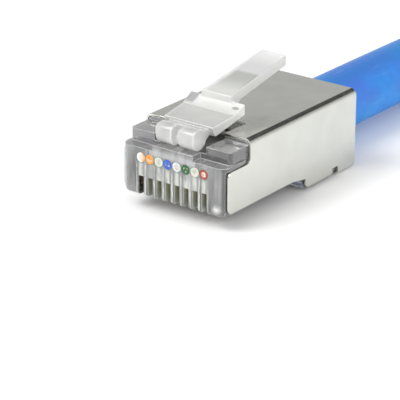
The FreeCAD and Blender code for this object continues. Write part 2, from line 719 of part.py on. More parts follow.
def make_wire(number):
    """A conductor and its insulation, which is slit where the prongs of the contact go through."""
    route, radii = rounded_route(wire_points(number))
    print(f"wire {number}: radii", [round(radius, 2) for radius in radii])
    copper = value("conductor_diameter") / 2
    conductor = add_shape(f"conductor_{number}", sweep_round(route, copper))
    sleeve = sweep_round(route, value(WIRE_RADIUS)).cut(sweep_round(route, copper + value("conductor_fit")))
    fit = value("prong_fit")
    width = value("blade_thickness") + 2 * fit
    length = value("prong_width") + 2 * fit
    height = value(WIRE_RADIUS)
    for shift in (-1, 1):
        middle = value(f"{FRONT} + blade_setback + blade_length / 2") + shift * value("prong_spread") / 2
        corner = VECTOR(value(pin_place(number)) - width / 2, middle - length / 2, value(WIRE_ROW) - height)
        sleeve = sleeve.cut(Part.makeBox(width, length, height, corner))
    return [conductor, add_shape(f"insulation_{number}", sleeve)]


def make_cable():
    """The jacket, the foil screen inside it, and the drain wire folded back over the jacket."""
    start = VECTOR(0, value(JACKET_FRONT), value(CABLE_AXIS))
    route, radii = rounded_route([start] + cable_points(0, 0))
    print("cable: radii", [round(radius, 1) for radius in radii])
    jacket = sweep_round(route, value(JACKET_RADIUS)).cut(sweep_round(route, value(JACKET_BORE)))
    screen = sweep_round(route, value(SCREEN_RADIUS)).cut(sweep_round(route, value(CORE_RADIUS)))
    turn = value(f"{JACKET_FRONT} - drain_turn")
    level = value(f"{CABLE_AXIS} + {DRAIN_LEVEL}")
    drain_points = [
        VECTOR(0, value(f"{REAR} - drain_tail"), level),
        VECTOR(0, turn, level),
        VECTOR(0, turn, value(CABLE_AXIS)),
    ]
    drain_route, _ = rounded_route(drain_points + cable_points(0, 0), fold=value("drain_bend"))
    drain = sweep_round(drain_route, value("drain_diameter") / 2)
    layers = {"cable_jacket": jacket, "cable_screen": screen, "drain_wire": drain}
    return [add_shape(name, shape) for name, shape in layers.items()]


# ---------------------------------------------------------------- build, check and write

parts = [make_housing(), make_latch(), make_shield()]
for pin in range(1, WIRES + 1):
    parts.append(make_contact(pin))
for pin in range(1, WIRES + 1):
    parts.extend(make_wire(pin))
parts.extend(make_cable())
doc.recompute()

for item in doc.Objects:
    if "Invalid" in item.State or "Error" in item.State:
        raise RuntimeError(f"{item.Label} could not be built: {item.State}")
for part in parts:
    if part.Shape.isNull() or not part.Shape.isValid():
        raise RuntimeError(f"{part.Label} has no valid shape")

os.makedirs("parts", exist_ok=True)
for part in parts:
    part.Shape.exportStep(f"parts/{part.Label}.step")
    box = part.Shape.BoundBox
    print(f"{part.Label:14} {part.Shape.Volume:9.3f} mm3  solids {len(part.Shape.Solids)}  "
          f"x {box.XMin:6.2f} {box.XMax:6.2f}  y {box.YMin:6.2f} {box.YMax:6.2f}  "
          f"z {box.ZMin:6.2f} {box.ZMax:6.2f}")
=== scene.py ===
import math

import bmesh
import bpy
from mathutils import Matrix, Vector


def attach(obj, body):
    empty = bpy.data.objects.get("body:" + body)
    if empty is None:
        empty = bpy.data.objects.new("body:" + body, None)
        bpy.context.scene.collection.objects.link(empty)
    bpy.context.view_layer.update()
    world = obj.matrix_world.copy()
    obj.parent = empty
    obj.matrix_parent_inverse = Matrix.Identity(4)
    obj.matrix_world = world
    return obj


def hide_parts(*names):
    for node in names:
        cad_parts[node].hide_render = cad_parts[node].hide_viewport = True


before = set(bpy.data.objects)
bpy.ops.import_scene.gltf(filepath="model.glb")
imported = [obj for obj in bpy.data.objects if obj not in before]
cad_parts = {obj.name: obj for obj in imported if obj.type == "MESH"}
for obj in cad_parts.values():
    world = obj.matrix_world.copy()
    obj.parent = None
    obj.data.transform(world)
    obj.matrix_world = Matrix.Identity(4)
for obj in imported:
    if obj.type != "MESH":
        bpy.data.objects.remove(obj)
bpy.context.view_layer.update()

# A shielded pass-through modular plug on the end of its blue cable. Metres, in the frame of the CAD model:
# the nose points along -Y, the latch is up, and the plug stands on the folded flaps of its shield.

MM = 0.001
MICRON = 1e-6
WHITE = (1.0, 1.0, 1.0)


# ---------------------------------------------------------------- places on the plug, as in the CAD model

NOSE_FACE = -10.5 * MM
NOSE_RIM = NOSE_FACE + 0.46 * MM        # the nose face's rounded rim lies before this
NOSE_SOLE = 1.5 * MM
NOSE_TOP = 6.2 * MM
NOSE_SIDE = 5.7 * MM                    # an edge farther out than this is on the side of the nose
SHIELDED = -6.6 * MM                    # behind this the housing lies under the shield
SLOT_TOP = 3.42 * MM
ROW_HALF = 4.2 * MM                     # half the width of the row of slots and wires
PIN_PITCH = 1.016 * MM
WIRE_ROW = 5.27 * MM
WIRE_RADIUS = 0.45 * MM
HIGHLIGHT_SPOT = (4.95 * MM, 2.25 * MM)           # a painted highlight low on the right of the nose, across and up
RECESS_HALF = 3.2 * MM                  # the recess under the latch
RECESS_TOP = NOSE_TOP + 1.5 * MM
NOTCH_REAR = (-4.1 * MM, 7.2 * MM)      # the rear edge of the shield's notch is behind and above this
PIVOT_Y, PIVOT_Z = -9.2 * MM, 7.8 * MM  # axis of the latch's root barrels
BARREL_RADIUS = 1.0 * MM
BARRELS_BACK = -8.6 * MM
PLATE_FRONT = -8.1 * MM
EARS = -3.6 * MM                        # rear of the catch ears
EAR_MARK = (2.5 * MM, -4.3 * MM)            # in the right ear, across and along
TOUCH = 0.01 * MM                       # points nearer than this are at the same place


# ---------------------------------------------------------------- camera, floor and light

VIEW_AZIMUTH = math.radians(35.86)
VIEW_ELEVATION = math.radians(20.59)
VIEW_ROLL = math.radians(0.57)
VIEW_TARGET = Vector((0, -0.5, 5.5)) * MM
VIEW_DISTANCE = 204.8 * MM
SENSOR = 36.0
LENS = 198.1
FRAMING_SHIFT = (-0.094, -0.169)
CLIP_START = 0.01


def add_camera():
    back = Vector((math.sin(VIEW_AZIMUTH) * math.cos(VIEW_ELEVATION),
                   -math.cos(VIEW_AZIMUTH) * math.cos(VIEW_ELEVATION),
                   math.sin(VIEW_ELEVATION)))
    level = Vector((math.cos(VIEW_AZIMUTH), math.sin(VIEW_AZIMUTH), 0))
    upward = back.cross(level)
    right = level * math.cos(VIEW_ROLL) + upward * math.sin(VIEW_ROLL)
    top = upward * math.cos(VIEW_ROLL) - level * math.sin(VIEW_ROLL)
    lens = bpy.data.cameras.new("camera")
    lens.sensor_width = SENSOR
    lens.lens = LENS
    lens.shift_x, lens.shift_y = FRAMING_SHIFT
    lens.clip_start = CLIP_START
    camera = bpy.data.objects.new("camera", lens)
    turn = Matrix((right, top, back)).transposed().to_4x4()
    camera.matrix_world = Matrix.Translation(VIEW_TARGET + back * VIEW_DISTANCE) @ turn
    bpy.context.collection.objects.link(camera)
    bpy.context.scene.camera = camera


FLOOR_WHITE = (0.95, 0.95, 0.95, 1)
FLOOR_HALF = 1.5


def add_floor():
    corners = [(x * FLOOR_HALF, y * FLOOR_HALF, 0) for x, y in ((-1, -1), (1, -1), (1, 1), (-1, 1))]
    mesh = bpy.data.meshes.new("floor")
    mesh.from_pydata(corners, [], [(0, 1, 2, 3)])
    floor = bpy.data.objects.new("floor", mesh)
    bpy.context.collection.objects.link(floor)
    material, _, shader = new_material("floor_white")
    set_inputs(shader, {"Base Color": FLOOR_WHITE, "Roughness": 0.9, "Specular IOR Level": 0.1})
    mesh.materials.append(material)


AMBIENT = 0.72
# Brightness of the studio's wall by the height of the direction, as a sine. It is white at both ends.
STUDIO_WALL = ((0.20, 1.0), (0.29, 0.56), (0.66, 0.56), (0.77, 1.0))
# Dark boards before it, each from one side to the other along X and along Y, as parts of the direction.
# The sheet's long edge reflects the first, and the latch reflects the second.
BOARDS = (((-0.44, 0.42), (0.68, 0.84)), ((-0.64, -0.46), (0.50, 0.72)))
BOARD_FOOT, BOARD_HEAD = (0.44, 0.51), (0.66, 0.77)
BOARD_BLUR = 0.02
BOARD_TONE = (0.05, 0.05, 0.05)


def wall_colour(tree, height):
    ramp = add_node(tree, "ShaderNodeValToRGB")
    stops = ramp.color_ramp.elements
    for stop in stops:
        stop.color = (*WHITE, 1)
    for place, level in STUDIO_WALL:
        stop = stops.new(place)
        stop.color = (level, level, level, 1)
    tree.links.new(height, ramp.inputs["Fac"])
    return ramp.outputs["Color"]


def board_share(tree, direction):
    height = direction["Z"]
    upright = product(tree, rise(tree, height, *BOARD_FOOT), fall(tree, height, *BOARD_HEAD))
    shares = []
    for sides in BOARDS:
        share = upright
        for axis, (start, end) in zip("XY", sides):
            share = product(tree, share,
                            rise(tree, direction[axis], start - BOARD_BLUR, start + BOARD_BLUR),
                            fall(tree, direction[axis], end - BOARD_BLUR, end + BOARD_BLUR))
        shares.append(share)
    return highest(tree, *shares)


def add_studio():
    """A plain white world as light, and the wall with its boards as what is seen and reflected."""
    world = bpy.data.worlds.new("studio")
    bpy.context.scene.world = world
    world.use_nodes = True
    tree = world.node_tree
    light = tree.nodes["Background"]
    set_inputs(light, {"Color": (*WHITE, 1), "Strength": AMBIENT})
    direction = split_axes(tree, add_node(tree, "ShaderNodeTexCoord").outputs["Generated"])
    seen = add_node(tree, "ShaderNodeBackground")
    colour = tint(tree, board_share(tree, direction), wall_colour(tree, direction["Z"]), BOARD_TONE)
    tree.links.new(colour, seen.inputs["Color"])
    path = add_node(tree, "ShaderNodeLightPath").outputs
    shown = highest(tree, path["Is Camera Ray"], path["Is Glossy Ray"], path["Is Transmission Ray"])
    surface = mixed_shader(tree, shown, light.outputs[0], seen.outputs[0])
    tree.links.new(surface, tree.nodes["World Output"].inputs["Surface"])


# name: (place in metres, power in watts, width in metres)
LAMPS = {
    "key": ((-0.16, -0.26, 0.34), 1.3, 0.25),
    "fill": ((0.34, -0.10, 0.20), 0.5, 0.30),
}


def add_lamps():
    for name, (place, power, width) in LAMPS.items():
        light = bpy.data.lights.new(name, "AREA")
        light.energy = power
        light.size = width
        lamp = bpy.data.objects.new(name, light)
        lamp.location = place
        lamp.rotation_euler = (VIEW_TARGET - Vector(place)).to_track_quat("-Z", "Y").to_euler()
        bpy.context.collection.objects.link(lamp)


# ---------------------------------------------------------------- nodes

def new_material(name):
    material = bpy.data.materials.new(name)
    material.use_nodes = True
    return material, material.node_tree, material.node_tree.nodes["Principled BSDF"]


def add_node(tree, kind, **settings):
    node = tree.nodes.new(kind)
    for name, setting in settings.items():
        setattr(node, name, setting)
    return node


def set_inputs(node, values):
    for name, setting in values.items():
        node.inputs[name].default_value = setting


def split_axes(tree, source):
    """The parts of a vector, as sockets called X, Y and Z."""
    split = add_node(tree, "ShaderNodeSeparateXYZ")
    tree.links.new(source, split.inputs[0])
    return split.outputs


def place_of(tree):
    """The object's own coordinates, each as a socket of its own."""
    return split_axes(tree, add_node(tree, "ShaderNodeTexCoord").outputs["Object"])


def maths(tree, operation, first, second=None, third=None):
    node = add_node(tree, "ShaderNodeMath", operation=operation)
    for socket, source in zip(node.inputs, (first, second, third)):
        if isinstance(source, (int, float)):
            socket.default_value = source
        elif source is not None:
            tree.links.new(source, socket)
    return node.outputs[0]


def chained(tree, operation, first, *others):
    for other in others:
        first = maths(tree, operation, first, other)
    return first


def product(tree, *shares):
    return chained(tree, "MULTIPLY", *shares)


def highest(tree, *shares):
    return chained(tree, "MAXIMUM", *shares)


def below(tree, source, limit):
    return maths(tree, "LESS_THAN", source, limit)


def within(tree, source, reach):
    return below(tree, maths(tree, "ABSOLUTE", source), reach)


def spread(tree, source, low, high, start=0.3, end=0.7):
    """The source, from start to end, spread between low and high. Most of a noise lies from 0.3 to 0.7."""
    node = add_node(tree, "ShaderNodeMapRange")
    set_inputs(node, {"From Min": start, "From Max": end, "To Min": low, "To Max": high})
    tree.links.new(source, node.inputs["Value"])
    return node.outputs[0]


def rise(tree, source, start, end, top=1):
    """None at start, and top at end and past it."""
    return spread(tree, source, 0, top, start, end)


def fall(tree, source, start, end, top=1):
    """top at start, and none at end and past it."""
    return spread(tree, source, top, 0, start, end)


def distance(tree, first, second, middle, squeeze=1):
    """How far a place is from the middle of a spot, which may be squeezed along the second coordinate."""
    aside = maths(tree, "SUBTRACT", first, middle[0])
    along = maths(tree, "MULTIPLY", maths(tree, "SUBTRACT", second, middle[1]), squeeze)
    squares = maths(tree, "ADD", maths(tree, "POWER", aside, 2), maths(tree, "POWER", along, 2))
    return maths(tree, "SQRT", squares)


def noise(tree, scale, detail=2, stretch=(1, 1, 1)):
    """Noise over the object's own coordinates. scale is in lumps per metre."""
    place = add_node(tree, "ShaderNodeTexCoord")
    mapping = add_node(tree, "ShaderNodeMapping")
    mapping.inputs["Scale"].default_value = stretch
    grain = add_node(tree, "ShaderNodeTexNoise")
    set_inputs(grain, {"Scale": scale, "Detail": detail})
    tree.links.new(place.outputs["Object"], mapping.inputs["Vector"])
    tree.links.new(mapping.outputs[0], grain.inputs["Vector"])
    return grain.outputs["Fac"]


def ragged(tree, source, reach, scale, detail=2):
    """A coordinate put off by a noise of up to this reach, which gives what it borders a ragged edge."""
    return maths(tree, "MULTIPLY_ADD", noise(tree, scale, detail), reach, source)


def tint(tree, share, first, second):
    """From the first colour, at a share of 0, to the second."""
    node = add_node(tree, "ShaderNodeMix", data_type="RGBA")
    tree.links.new(share, node.inputs["Factor"])
    for name, colour in (("A", first), ("B", second)):
        socket = next(item for item in node.inputs if item.name == name and item.type == "RGBA")
        if isinstance(colour, tuple):
            socket.default_value = (*colour, 1)
        else:
            tree.links.new(colour, socket)
    return next(item for item in node.outputs if item.type == "RGBA")


def bump(tree, shader, height, depth, strength):
    node = add_node(tree, "ShaderNodeBump")
    set_inputs(node, {"Strength": strength, "Distance": depth})
    tree.links.new(height, node.inputs["Height"])
    tree.links.new(node.outputs[0], shader.inputs["Normal"])


def link_surface(tree, shader, colour, rough, pattern):
    """The shader's colour, with the pattern, if there is one, painted over it, and its roughness."""
    tree.links.new(pattern(tree, colour) if pattern else colour, shader.inputs["Base Color"])
    tree.links.new(rough, shader.inputs["Roughness"])


def mixed_shader(tree, share, first, second):
    mix = add_node(tree, "ShaderNodeMixShader")
    for socket, source in zip(mix.inputs, (share, first, second)):
        tree.links.new(source, socket)
    return mix.outputs[0]


def toned(colour, factor):
    return tuple(min(1.0, part * factor) for part in colour)


# ---------------------------------------------------------------- metals

def metal(name, tones, lumps, grain, gloss, depth, strength, metallic=1.0, dents=None, pattern=None):
    """A metal mottled between two tones.

    lumps, grain and dents are the noises of the mottling, of the roughness and of the relief, which follows
    the grain where no dents are given. gloss is the least and the most roughness. depth and strength are
    the relief's, and pattern paints over the colour.
    """
    material, tree, shader = new_material(name)
    shader.inputs["Metallic"].default_value = metallic
    surface = tint(tree, spread(tree, noise(tree, **lumps), 0, 1), *tones)
    rough = noise(tree, **grain)
    link_surface(tree, shader, surface, spread(tree, rough, *gloss), pattern)
    bump(tree, shader, noise(tree, **dents) if dents else rough, depth, strength)
    return material


def nickel():
    return metal("nickel_plate", ((0.63, 0.635, 0.59), (0.68, 0.685, 0.64)),
                 lumps=dict(scale=420, detail=4), grain=dict(scale=3000, detail=3, stretch=(1, 0.3, 1)),
                 gloss=(0.13, 0.18), depth=MICRON, strength=0.3)


def sheared_edge():
    """The sheet's cut edge, duller than its plated faces, and pale as painted light where it lies in the
    latch's shade.
    """
    grain = dict(scale=3000, detail=3)
    return metal("sheared_edge", ((0.80, 0.80, 0.75), (0.95, 0.95, 0.90)), lumps=grain, grain=grain,
                 gloss=(0.45, 0.6), depth=2 * MICRON, strength=0.3, metallic=0.2)


def gold():
    return metal("gold_plate", ((0.60, 0.44, 0.17), (0.80, 0.62, 0.30)), lumps=dict(scale=2500, detail=3),
                 grain=dict(scale=6000), gloss=(0.16, 0.3), depth=2 * MICRON, strength=0.4)


def bright_metal(name, colour, rough):
    """Foil or tinned wire, rougher than the plated sheet."""
    return metal(name, (toned(colour, 0.85), colour), lumps=dict(scale=1500, detail=4),
                 grain=dict(scale=4000, detail=3), gloss=(rough - 0.08, rough + 0.1),
                 depth=10 * MICRON, strength=0.4, dents=dict(scale=2500, detail=3))


def copper(name, colour, cover):
    """Cut copper, of which the smears of the insulation, in its colour, cover this share."""
    def smeared(tree, surface):
        # about this share of a noise, which lies around a half, is above it
        edge = 0.66 - 0.32 * cover
        share = rise(tree, noise(tree, 3600), edge - 0.03, edge + 0.06, 0.92)
        return tint(tree, share, surface, toned(colour, 0.82))
    return metal(name, ((0.60, 0.40, 0.30), (0.95, 0.84, 0.74)), lumps=dict(scale=7000, detail=3),
                 grain=dict(scale=12000), gloss=(0.35, 0.6), depth=4 * MICRON, strength=0.5, metallic=0.6,
                 pattern=smeared)


# ---------------------------------------------------------------- wires and cable

def plastic(name, colour, variation=0.12, gloss=0.38, pattern=None, shine=0.5):
    material, tree, shader = new_material(name)
    shader.inputs["Specular IOR Level"].default_value = shine
    tones = toned(colour, 1 - variation), toned(colour, 1 + variation)
    surface = tint(tree, spread(tree, noise(tree, 900, detail=3), 0, 1), *tones)
    rough = spread(tree, noise(tree, 2500, detail=3), gloss - 0.06, gloss + 0.08)
    link_surface(tree, shader, surface, rough, pattern)
    bump(tree, shader, noise(tree, 4000, stretch=(1, 0.15, 1)), 4 * MICRON, 0.4)
    return material


# number: (name, colour, colour of the tracer stripes or None, share of the cut copper that is smeared over)
WIRES = {
    1: ("insulation_white_orange", (0.86, 0.84, 0.79), (0.90, 0.33, 0.05), 0.75),
    2: ("insulation_orange", (0.90, 0.33, 0.05), None, 0.6),
    3: ("insulation_white_green", (0.60, 0.67, 0.58), (0.02, 0.22, 0.07), 0.7),
    4: ("insulation_blue", (0.02, 0.12, 0.55), None, 0.85),
    5: ("insulation_white_blue", (0.62, 0.67, 0.68), (0.03, 0.16, 0.60), 0.7),
    6: ("insulation_green", (0.01, 0.13, 0.04), None, 0.8),
    7: ("insulation_white_brown", (0.62, 0.65, 0.57), (0.36, 0.10, 0.05), 0.7),
    8: ("insulation_brown", (0.36, 0.065, 0.035), None, 0.35),
}
# number: the place across the plug to the right of which the cut end is smeared with the tracer's colour
SMEARED_ENDS = {1: -3.50 * MM}


def tracer_stripes(colour, smear):
    """Two stripes along the wire, one on top and one below, and a smear over one side of some cut ends."""
    def pattern(tree, surface):
        # a stripe is where the surface looks up or down by more than this
        border = spread(tree, noise(tree, 1200), 0.84, 0.92)
        normal = split_axes(tree, add_node(tree, "ShaderNodeTexCoord").outputs["Normal"])
        share = maths(tree, "GREATER_THAN", maths(tree, "ABSOLUTE", normal["Z"]), border)
        striped = tint(tree, product(tree, share, 0.9), surface, colour)
        if smear is None:
            return striped
        x, y, _ = place_of(tree)
        beside = rise(tree, ragged(tree, x, 0.5 * MM, 3000), smear + 0.20 * MM, smear + 0.32 * MM, 0.85)
        at_end = below(tree, y, NOSE_FACE + 0.1 * MM)
        return tint(tree, product(tree, beside, at_end), striped, colour)
    return pattern


# Middle of the cable in millimetres, from inside the plug to its cut end.
CABLE_ROUTE = [(0, 3.2, 3.9116), (0, 27.5, 3.9116), (0, 40.0, 3.6116), (0, 52.5, 3.0116)]
JACKET_OUTSIDE = 3.0016 * MM
JACKET_INSIDE = 2.37 * MM
TUBE_SIDES = 64
ROUTE_STEPS = 24

JACKET_BLUE = (0.030, 0.248, 0.72)
JACKET_SHADE_VIOLET = (0.06, 0.158, 0.65)
JACKET_TOP_SHADE = (0.02, 0.17, 0.45)
JACKET_LIT_PALE = (0.06, 0.36, 0.75)
JACKET_SCUFF = (0.30, 0.50, 0.85)


def jacket_light_and_scuffs(tree, surface):
    """Painted shade as violet patches on the upper half and a deeper tone along the top, painted light as
    paler patches on the lower half, and faint scuffs.
    """
    _, _, z = place_of(tree)
    # the darker upper half is painted shade and the paler lower half is painted light; only the scuffs are
    # wear
    upper = rise(tree, z, 3.2 * MM, 4.6 * MM)
    patch = rise(tree, noise(tree, 190, detail=1), 0.42, 0.58, 0.85)
    shade_patched = tint(tree, product(tree, patch, upper), surface, JACKET_SHADE_VIOLET)
    top_shaded = tint(tree, rise(tree, z, 5.9 * MM, 6.7 * MM, 0.6), shade_patched, JACKET_TOP_SHADE)
    paler = rise(tree, noise(tree, 150, detail=1), 0.44, 0.60, 0.45)
    lower = fall(tree, z, 2.6 * MM, 4.2 * MM)
    lit_below = tint(tree, product(tree, paler, lower), top_shaded, JACKET_LIT_PALE)
    scuff = rise(tree, noise(tree, 2100, detail=4, stretch=(1, 0.12, 1)), 0.62, 0.72, 0.14)
    return tint(tree, scuff, lit_below, JACKET_SCUFF)


def route_points(points, name):
    """Points along the smooth curve that the route's control points steer."""
    curve = bpy.data.curves.new(name, "CURVE")
    curve.dimensions = "3D"
    curve.resolution_u = ROUTE_STEPS
    spline = curve.splines.new("NURBS")
    spline.points.add(len(points) - 1)
    for point, place in zip(spline.points, points):
        point.co = (*(part * MM for part in place), 1)
    spline.order_u = 3
    spline.use_endpoint_u = True
    holder = bpy.data.objects.new(name, curve)
    line = bpy.data.meshes.new_from_object(holder)
    places = [vertex.co.copy() for vertex in line.vertices]
    bpy.data.objects.remove(holder)
    bpy.data.curves.remove(curve)
    bpy.data.meshes.remove(line)
    return places


def pipe_mesh(name, line, radii):
    """A pipe along the line, with this outer and inner radius and flat ends."""
    across = Vector((1, 0, 0))
    vertices = []
    for radius in radii:
        for index, place in enumerate(line):
            ahead = line[min(index + 1, len(line) - 1)] - line[max(index - 1, 0)]
            up = across.cross(ahead.normalized())
            for step in range(TUBE_SIDES):
                angle = 2 * math.pi * step / TUBE_SIDES
                vertices.append(place + (across * math.cos(angle) + up * math.sin(angle)) * radius)
    inner = len(line) * TUBE_SIDES
    # corners of a face of the walls and of the flat ends: (rings' points further on, sides further round)
    wall = ((0, 0), (0, 1), (TUBE_SIDES, 1), (TUBE_SIDES, 0))
    end = ((0, 0), (inner, 0), (inner, 1), (0, 1))
    bands = [(first + ring * TUBE_SIDES, wall, first == inner)
             for first in (0, inner) for ring in range(len(line) - 1)]
    bands += [(0, end, False), (inner - TUBE_SIDES, end, True)]
    faces = []
    for start, corners, inward in bands:
        for step in range(TUBE_SIDES):
            face = [start + further + (step + beside) % TUBE_SIDES for further, beside in corners]
            faces.append(face[::-1] if inward else face)
    mesh = bpy.data.meshes.new(name)
    mesh.from_pydata(vertices, [], faces)
    mesh.shade_smooth()
    return mesh


def make_jacket():
    line = route_points(CABLE_ROUTE, "cable_line")
    mesh = pipe_mesh("cable_skin", line, (JACKET_OUTSIDE, JACKET_INSIDE))
    jacket = bpy.data.objects.new("cable_skin", mesh)
    bpy.context.collection.objects.link(jacket)
    mesh.materials.append(plastic("blue_pvc", JACKET_BLUE, 0.06, 0.42, jacket_light_and_scuffs, shine=0.25))
    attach(jacket, "plug")
    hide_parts("cable_jacket")


# ---------------------------------------------------------------- clear plastic

PLASTIC_IOR = 1.585
MILKY_CLARITY = 0.12            # what the cloudiest places let through
LIGHT_THROUGH = (0.9, 0.9, 0.9)
BODY_GREY = (0.6, 0.6, 0.6)


def polycarbonate(name, colour, haze, density, gloss, pattern=None, coat=1.0, streaks=(1, 1, 1),
                  clouds=0.28, ripple=0.6, milk=None):
    """Clear plastic with a polished skin and a slight haze below it.

    pattern paints over its colour, and milk gives the share by which a place is cloudier than the rest.
    """
    material, tree, shader = new_material(name)
    set_inputs(shader, {"IOR": PLASTIC_IOR, "Transmission Weight": 1 - haze,
                        "Coat Weight": coat, "Coat Roughness": 0.04})
    if milk:
        clarity = spread(tree, milk(tree), 1 - haze, MILKY_CLARITY, 0, 1)
        tree.links.new(clarity, shader.inputs["Transmission Weight"])
    flow = noise(tree, 700, detail=3, stretch=streaks)
    surface = tint(tree, spread(tree, flow, 0, 1), toned(colour, 1 - clouds), colour)
    rough = spread(tree, noise(tree, 1400, detail=3), *gloss)
    link_surface(tree, shader, surface, rough, pattern)
    bump(tree, shader, flow, 60 * MICRON, ripple)
    let_lamps_through(tree, shader)
    volume = add_node(tree, "ShaderNodeVolumeAbsorption")
    set_inputs(volume, {"Color": (*BODY_GREY, 1), "Density": density})
    tree.links.new(volume.outputs[0], tree.nodes["Material Output"].inputs["Volume"])
    return material


def let_lamps_through(tree, shader):
    """Lamps shine through the clear plastic straight, so that what lies inside is lit."""
    clear = add_node(tree, "ShaderNodeBsdfTransparent")
    clear.inputs["Color"].default_value = (*LIGHT_THROUGH, 1)
    path = add_node(tree, "ShaderNodeLightPath")
    surface = mixed_shader(tree, path.outputs["Is Shadow Ray"], shader.outputs[0], clear.outputs[0])
    tree.links.new(surface, tree.nodes["Material Output"].inputs["Surface"])


# ---------------------------------------------------------------- finishes of the housing

# Colours of painted light and shade on the nose face, in the slots and in the recess under the latch
STREAK_SHADE = (0.22, 0.23, 0.22)
STRIP_LIGHT = (0.84, 0.88, 0.80)
SEAM_HIGHLIGHT = (1.0, 1.0, 0.97)
FLANK_SHADE = (0.30, 0.32, 0.25)
CORE_HIGHLIGHT = (1.0, 1.0, 0.94)
SLOT_SHADE = (0.20, 0.215, 0.165)
SLOT_LEFT_SHADE = (0.05, 0.055, 0.04)
RECESS_REAR_LIGHT = (0.97, 0.97, 0.93)
# The blurred borders of the painted rows on the nose face, as distances from a seam in pitches.
SEAM_EDGE, CORE_EDGE, FLANK_EDGE, STRIP_EDGE = (0.02, 0.09), (0.04, 0.10), (0.10, 0.17), (0.2, 0.36)
GLOW_HALF = 2.6 * MM                # half the width of the glow over the wires
RIGHT_EDGE_SHADE = (5.35 * MM, 5.5 * MM)   # where painted shade darkens the right edge of the nose


def slot_painted_shade(tree, surface):
    """Painted shade, paler near the nose face and darker behind it. The outermost slot on the left is dark
    throughout.
    """
    x, y, _ = place_of(tree)
    deep = rise(tree, y, NOSE_FACE + 0.42 * MM, NOSE_FACE + 0.85 * MM)
    shaded = tint(tree, deep, surface, SLOT_SHADE)
    return tint(tree, below(tree, x, -3 * PIN_PITCH), shaded, SLOT_LEFT_SHADE)


def recess_shade_and_light(tree, surface):
    """Painted shade under the latch, and painted light on the recess's rear wall, where light comes in
    through the notch.
    """
    _, y, _ = place_of(tree)
    return tint(tree, rise(tree, y, -4.6 * MM, -3.6 * MM), surface, RECESS_REAR_LIGHT)


def nose_rows(tree):
    """The place on the nose face, and where its rows of painted strips and painted rib highlights are.

    off_seam is how far it is from the middle between two pins, in pitches. strips is 1 below the wires and
    ribs is 1 beside the slots. whole is low where the strips and the cores of the ribs break off.
    """
    x, _, z = place_of(tree)
    sway = spread(tree, noise(tree, 1500, detail=3), -0.03, 0.03)
    # an even number of pins, so that a seam lies in the middle
    off_seam = maths(tree, "PINGPONG", maths(tree, "MULTIPLY_ADD", x, 1 / PIN_PITCH, sway), 0.5)
    in_row = within(tree, x, 4 * PIN_PITCH)
    whole = spread(tree, noise(tree, 1100, stretch=(1, 1, 0.5)), 0.25, 1, 0.38, 0.6)
    under_wires = rise(tree, z, WIRE_ROW - 0.2 * MM, WIRE_ROW - 0.7 * MM)
    strips = product(tree, under_wires, whole, in_row)
    ribs = product(tree, below(tree, z, SLOT_TOP), in_row)
    return x, z, off_seam, strips, ribs, whole


def painted_highlight_spot(tree, x, z):
    """A painted highlight, low on the right of the nose."""
    away = ragged(tree, distance(tree, x, z, HIGHLIGHT_SPOT), 0.5 * MM, 2600, detail=3)
    return fall(tree, away, 0.3 * MM, 0.9 * MM)


def wire_glow(tree, x, z):
    """Painted light: a lighter strip over the row of wires."""
    over = product(tree, rise(tree, z, WIRE_ROW + 0.3 * MM, WIRE_ROW + 0.6 * MM, 0.5),
                   fall(tree, z, WIRE_ROW + 0.9 * MM, WIRE_ROW + 1.3 * MM))
    return product(tree, over, within(tree, x, GLOW_HALF))


def nose_milk(tree):
    """Cloudier under the painted light: strips and seams below the wires, cores of the ribs, glow over the
    wires and the highlight spot.
    """
    x, z, off_seam, strips, ribs, whole = nose_rows(tree)
    strip = product(tree, spread(tree, off_seam, 0.1, 0.42, *STRIP_EDGE), strips)
    seam = product(tree, fall(tree, off_seam, *SEAM_EDGE, 0.55), strips)
    core = product(tree, fall(tree, off_seam, *CORE_EDGE, 0.5), whole, ribs)
    return highest(tree, strip, seam, core, product(tree, wire_glow(tree, x, z), 0.5),
                   product(tree, painted_highlight_spot(tree, x, z), 0.6))


def nose_painted_light(tree, surface):
    """Painted light: pale strips in line with the slots, with thin bright seams between them, and ribs
    below.
    """
    x, z, off_seam, strips, ribs, whole = nose_rows(tree)
    # the clear columns beside the slots get painted light and dark streaks, and the right one a painted
    # dark edge
    streak = noise(tree, 900, stretch=(1, 1, 0.22))
    streaked = tint(tree, rise(tree, streak, 0.50, 0.62, 0.85), surface, WHITE)
    dim = highest(tree, fall(tree, streak, 0.36, 0.47, 0.8), rise(tree, x, *RIGHT_EDGE_SHADE, 0.9))
    dimmed = tint(tree, dim, streaked, STREAK_SHADE)
    strip = product(tree, rise(tree, off_seam, *STRIP_EDGE), strips)
    striped = tint(tree, strip, dimmed, STRIP_LIGHT)
    seam = product(tree, fall(tree, off_seam, *SEAM_EDGE, 0.9), strips)
    seamed = tint(tree, seam, striped, SEAM_HIGHLIGHT)
    # the ribs between the slots get a painted highlight down their core and painted shade on their olive
    # flanks
    flank = product(tree, rise(tree, off_seam, *FLANK_EDGE, 0.75), ribs)
    flanked = tint(tree, flank, seamed, FLANK_SHADE)
    core = product(tree, fall(tree, off_seam, *CORE_EDGE), whole, ribs)
    cored = tint(tree, core, flanked, CORE_HIGHLIGHT)
    lit = tint(tree, wire_glow(tree, x, z), cored, WHITE)
    return tint(tree, painted_highlight_spot(tree, x, z), lit, WHITE)


